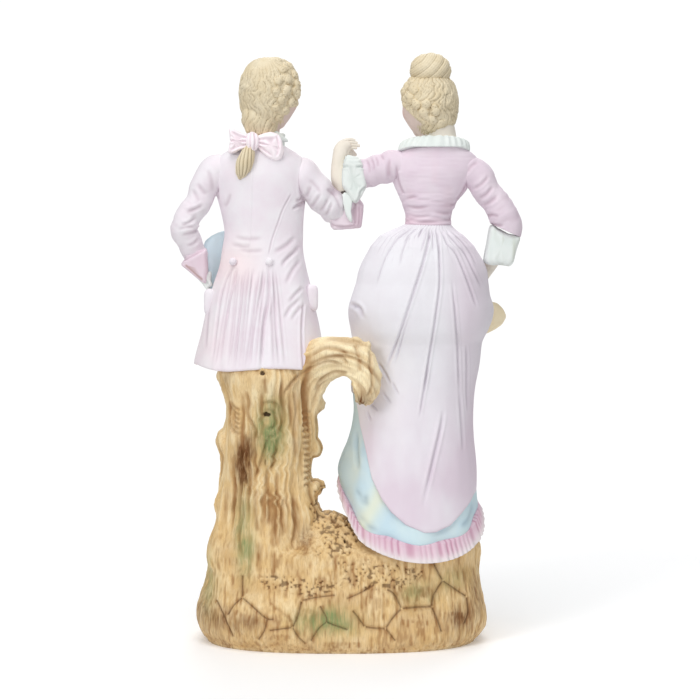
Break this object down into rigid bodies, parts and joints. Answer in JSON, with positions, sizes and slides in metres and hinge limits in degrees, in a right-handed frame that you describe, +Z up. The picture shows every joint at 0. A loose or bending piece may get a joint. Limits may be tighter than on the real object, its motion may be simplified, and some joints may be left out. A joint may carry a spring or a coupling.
{
  "type": "bisque courting couple figurine",
  "caption": "Unglazed porcelain figure group: a gentleman and a lady in rococo dress stand arm in arm on one tall rocky plinth with a tree trunk.",
  "frame": {"origin": "on the flat underside of the plinth, at the middle of its oval", "axes": "+Z up; the figures face -Y; the gentleman and the trunk stand at +X and the lady at -X"},
  "size_m": [0.2365, 0.1193, 0.4],
  "materials": {
    "bisque": "matt unglazed bisque, tinted in pastel washes: pink, lilac, pale blue, ochre and straw"
  },
  "bodies": {
    "root": {"bisque_courting_group": "bisque"}
  },
  "joints": []
}
